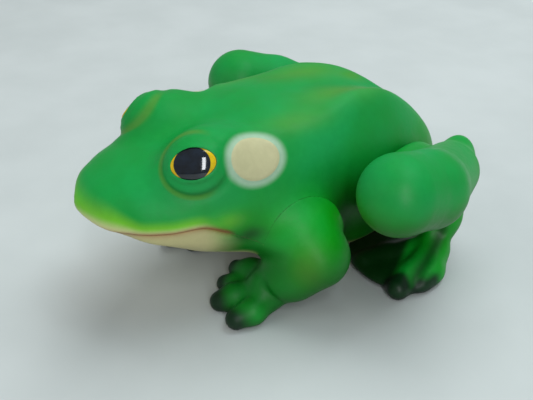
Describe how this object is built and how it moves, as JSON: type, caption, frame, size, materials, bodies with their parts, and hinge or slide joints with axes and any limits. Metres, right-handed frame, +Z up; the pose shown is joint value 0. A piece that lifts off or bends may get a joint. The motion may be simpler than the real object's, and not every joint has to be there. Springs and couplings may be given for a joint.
{
  "type": "jumping frog toy",
  "caption": "Crouching moulded frog toy with a key-wound clockwork in its belly that swings the hind legs to make it hop.",
  "frame": {"origin": "middle of the overall box at floor level", "axes": "+Z up, -Y the way the frog faces, +X its left side"},
  "size_m": [0.1418, 0.16, 0.0726],
  "materials": {
    "green_vinyl": "satin",
    "cream_vinyl": "satin",
    "eye_enamel": "gloss",
    "brass": "satin",
    "steel": "satin",
    "tinplate": "satin",
    "spring_steel": "blued"
  },
  "bodies": {
    "root": {"back_shell": "green_vinyl", "belly_shell": "cream_vinyl", "bottom_plate": "tinplate", "bracket_rivet_left": "steel", "bracket_rivet_right": "steel", "case_screw_chin": "steel", "case_screw_vent": "steel", "eye_left": "eye_enamel", "eye_right": "eye_enamel", "front_leg_left": "green_vinyl", "front_leg_right": "green_vinyl", "front_leg_screw_left": "steel", "front_leg_screw_right": "steel", "hip_bracket": "tinplate", "key_bushing": "brass", "mainspring": "spring_steel", "motor_screw_1": "steel", "motor_screw_2": "steel", "motor_screw_3": "steel", "motor_screw_4": "steel", "pillar_1": "steel", "pillar_2": "steel", "pillar_3": "steel", "pillar_4": "steel", "top_plate": "tinplate"},
    "winding": {"winding_key": "brass", "winding_arbor": "steel", "ratchet_wheel": "steel"},
    "great_wheel": {"great_wheel": "brass"},
    "click": {"click": "steel"},
    "second_wheel": {"second_arbor": "steel", "second_wheel": "brass"},
    "crank": {"crank_arbor": "steel", "crank_disc": "brass"},
    "hind_legs": {"hip_axle": "steel", "rocker_arm": "tinplate", "hind_leg_left": "green_vinyl", "hind_leg_right": "green_vinyl"},
    "rod": {"connecting_rod": "steel"}
  },
  "joints": [
    {"name": "key_turn", "type": "hinge", "parent": "root", "child": "winding", "pos_m": [0, -0.006, 0.02], "axis": [0, 0, 1], "continuous": true},
    {"name": "great_wheel_turn", "type": "hinge", "parent": "root", "child": "great_wheel", "pos_m": [0, -0.006, 0.0377], "axis": [0, 0, 1], "continuous": true},
    {"name": "click_lift", "type": "hinge", "parent": "great_wheel", "child": "click", "pos_m": [0, -0.015, 0.036], "axis": [0, 0, 1], "range_deg": [-20, 0], "stiffness_Nm_per_rad": 0.0005, "springref_deg": 5.73},
    {"name": "second_wheel_turn", "type": "hinge", "parent": "root", "child": "second_wheel", "pos_m": [0.00788, 0.00764, 0.035], "axis": [0, 0, 1], "continuous": true},
    {"name": "crank_turn", "type": "hinge", "parent": "root", "child": "crank", "pos_m": [0, 0.01879, 0.03], "axis": [0, 0, 1], "continuous": true},
    {"name": "leg_kick", "type": "hinge", "parent": "root", "child": "hind_legs", "pos_m": [0, 0.054, 0.038], "axis": [1, 0, 0], "range_deg": [0, 24]},
    {"name": "rod_swing", "type": "hinge", "parent": "hind_legs", "child": "rod", "pos_m": [0, 0.05109, 0.02431], "axis": [1, 0, 0], "range_deg": [-24, 0]}
  ],
  "couplings": [
    {"joint": "second_wheel_turn", "follows": "great_wheel_turn", "ratio": -4},
    {"joint": "crank_turn", "follows": "great_wheel_turn", "ratio": 13.333},
    {"joint": "rod_swing", "follows": "leg_kick", "ratio": -1}
  ]
}
